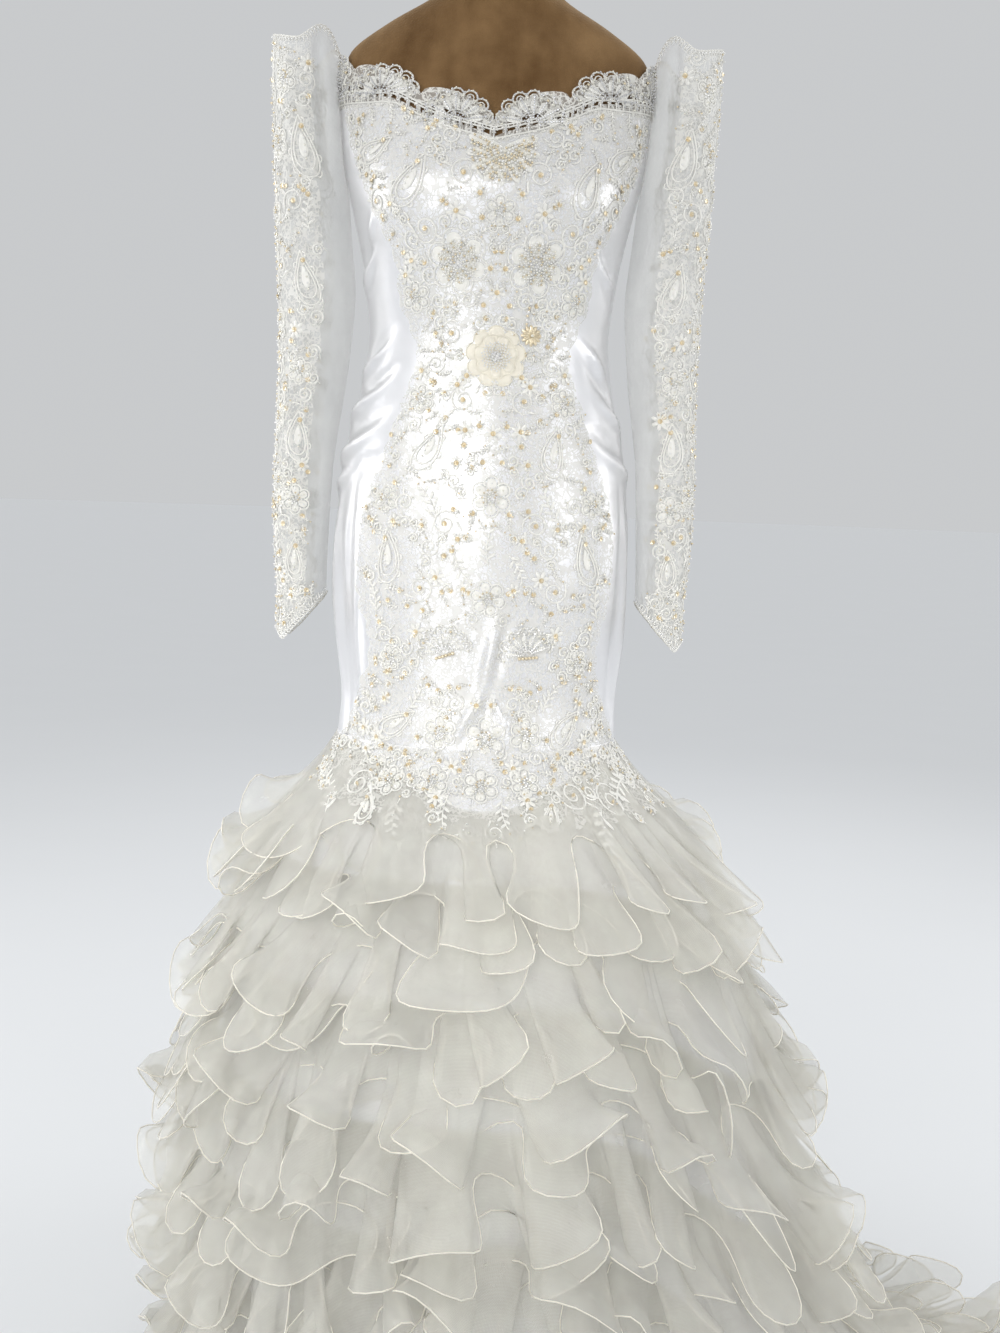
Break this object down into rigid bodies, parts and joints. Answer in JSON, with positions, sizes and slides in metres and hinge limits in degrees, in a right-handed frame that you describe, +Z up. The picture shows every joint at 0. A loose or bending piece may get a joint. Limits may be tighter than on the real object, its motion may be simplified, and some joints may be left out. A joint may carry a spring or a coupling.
{
  "type": "mermaid gown on a dress form",
  "caption": "Fitted satin bridal gown with a lace sweetheart neckline, off-shoulder sheer sleeves and a flounced mermaid skirt with a swept train, standing on a dress form.",
  "frame": {"origin": "on the floor, on the axis of the dress form's pole, at the middle of the base's underside", "axes": "+Z up, -Y towards the gown's front, +X towards the wearer's left, which is also the side the train is swept to"},
  "size_m": [1.161, 0.7208, 1.5733],
  "materials": {
    "satin": "glossy white satin",
    "lace": "ivory lace with beads",
    "sleeve_lace": "sheer ivory lace",
    "organza": "sheer ivory organza",
    "button_satin": "satin-covered",
    "velvet": "brown napped cover",
    "wood": "stained, satin",
    "stand_metal": "black, semi-matt"
  },
  "bodies": {
    "root": {"form_body": "velvet", "form_neck_cap": "wood", "form_pole": "stand_metal", "form_base": "stand_metal", "front_panel": "satin", "back_panel_left": "satin", "back_panel_right": "satin", "underskirt_front_left": "satin", "underskirt_back_left": "satin", "underskirt_back_right": "satin", "underskirt_front_right": "satin", "lace_yoke_front": "lace", "lace_yoke_back_left": "lace", "lace_yoke_back_right": "lace", "sleeve_left": "sleeve_lace", "sleeve_right": "sleeve_lace", "flounce_1_front_left": "organza", "flounce_1_back_left": "organza", "flounce_1_back_right": "organza", "flounce_1_front_right": "organza", "flounce_2_front_left": "organza", "flounce_2_back_left": "organza", "flounce_2_back_right": "organza", "flounce_2_front_right": "organza", "flounce_3_front_left": "organza", "flounce_3_back_left": "organza", "flounce_3_back_right": "organza", "flounce_3_front_right": "organza", "flounce_4_front_left": "organza", "flounce_4_back_left": "organza", "flounce_4_back_right": "organza", "flounce_4_front_right": "organza", "flounce_5_front_left": "organza", "flounce_5_back_left": "organza", "flounce_5_back_right": "organza", "flounce_5_front_right": "organza", "flounce_6_front_left": "organza", "flounce_6_back_left": "organza", "flounce_6_back_right": "organza", "flounce_6_front_right": "organza", "button_1": "button_satin", "button_2": "button_satin", "button_3": "button_satin", "button_4": "button_satin", "button_5": "button_satin", "button_6": "button_satin", "button_7": "button_satin", "button_8": "button_satin", "button_9": "button_satin", "button_10": "button_satin"}
  },
  "joints": []
}
